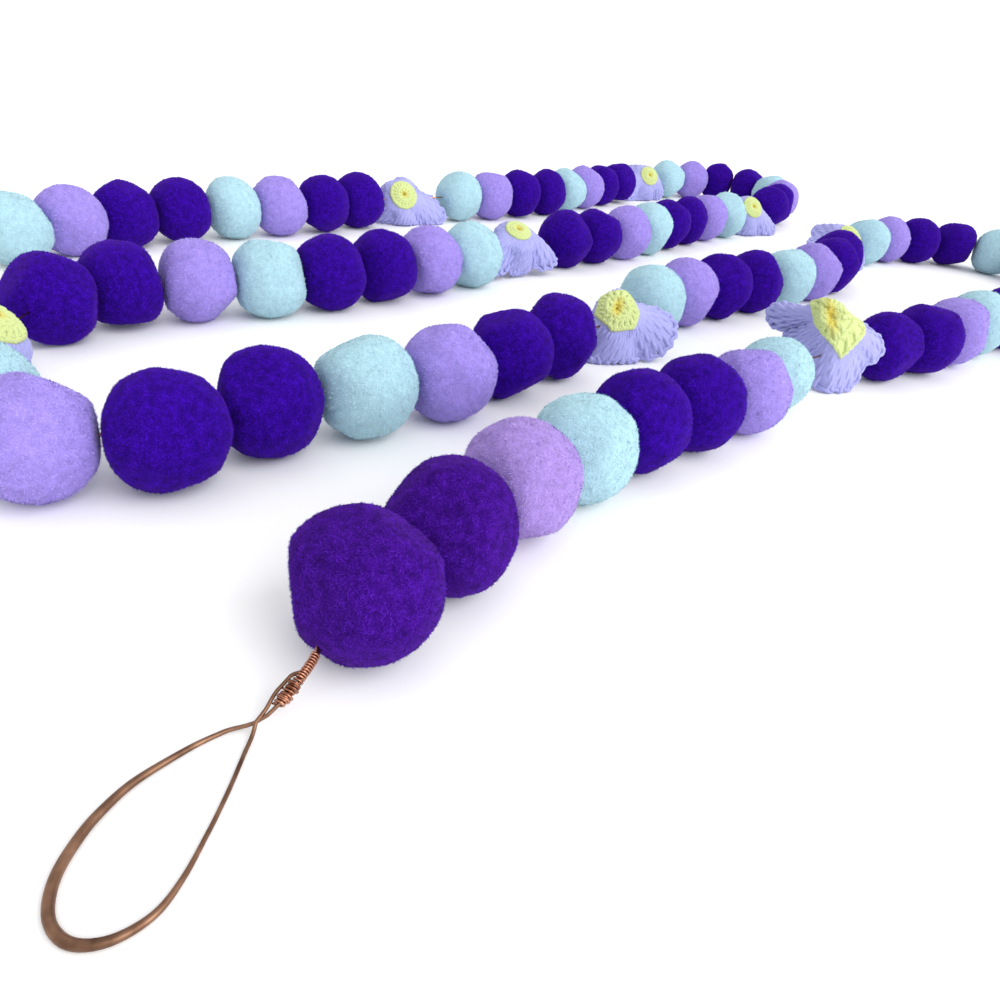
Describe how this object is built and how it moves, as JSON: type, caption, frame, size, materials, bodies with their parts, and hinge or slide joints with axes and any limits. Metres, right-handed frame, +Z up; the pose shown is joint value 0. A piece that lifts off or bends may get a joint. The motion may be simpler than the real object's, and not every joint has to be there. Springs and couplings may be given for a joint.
{
  "type": "pom-pom garland",
  "caption": "Craft garland of pressed pom-poms and draped crocheted flowers on one copper wire, laid out in long runs, with a wire hanging eye at each end.",
  "frame": {"origin": "middle of the footprint, on the table under the garland", "axes": "+Z up; +Y away from the viewer, along the garland's longer side as it lies; +X to the viewer's right"},
  "size_m": [0.4961, 0.5764, 0.0298],
  "materials": {
    "dark_purple_pile": "short dense acrylic pile, matte, with a soft sheen",
    "lavender_pile": "short dense acrylic pile, matte, with a soft sheen",
    "mint_pile": "short dense acrylic pile, matte, with a soft sheen",
    "periwinkle_crochet": "crocheted yarn in raised rows",
    "yellow_crochet": "crocheted yarn, the flower's first rounds",
    "copper_wire": "bare copper craft wire, a little tarnished"
  },
  "bodies": {
    "root": {"dark_pair_01": "dark_purple_pile", "dark_pair_02": "dark_purple_pile", "dark_pair_03": "dark_purple_pile", "dark_pair_04": "dark_purple_pile", "dark_pair_05": "dark_purple_pile", "dark_pair_06": "dark_purple_pile", "dark_pair_07": "dark_purple_pile", "dark_pair_08": "dark_purple_pile", "dark_pair_09": "dark_purple_pile", "dark_pair_10": "dark_purple_pile", "dark_pair_11": "dark_purple_pile", "dark_pair_12": "dark_purple_pile", "dark_pair_13": "dark_purple_pile", "dark_pair_14": "dark_purple_pile", "dark_pair_15": "dark_purple_pile", "dark_pair_16": "dark_purple_pile", "dark_pair_17": "dark_purple_pile", "dark_pair_18": "dark_purple_pile", "dark_pair_19": "dark_purple_pile", "dark_pair_20": "dark_purple_pile", "lavender_01": "lavender_pile", "lavender_02": "lavender_pile", "lavender_03": "lavender_pile", "lavender_04": "lavender_pile", "lavender_05": "lavender_pile", "lavender_06": "lavender_pile", "lavender_07": "lavender_pile", "lavender_08": "lavender_pile", "mint_01": "mint_pile", "mint_02": "mint_pile", "mint_03": "mint_pile", "mint_04": "mint_pile", "mint_05": "mint_pile", "mint_06": "mint_pile", "mint_07": "mint_pile", "mint_08": "mint_pile", "pale_pair_09": "lavender_pile", "pale_pair_10": "lavender_pile", "pale_pair_11": "lavender_pile", "pale_pair_12": "lavender_pile", "pale_pair_13": "lavender_pile", "pale_pair_14": "lavender_pile", "pale_pair_15": "lavender_pile", "pale_pair_16": "lavender_pile", "pale_pair_17": "lavender_pile", "pale_pair_18": "lavender_pile", "pale_pair_19": "lavender_pile", "pale_pair_20": "lavender_pile", "flower_1": "periwinkle_crochet", "flower_2": "periwinkle_crochet", "flower_3": "periwinkle_crochet", "flower_4": "periwinkle_crochet", "flower_5": "periwinkle_crochet", "flower_6": "periwinkle_crochet", "flower_7": "periwinkle_crochet", "flower_8": "periwinkle_crochet", "flower_9": "periwinkle_crochet", "string_wire": "copper_wire", "front_eye": "copper_wire", "back_eye": "copper_wire"}
  },
  "joints": []
}
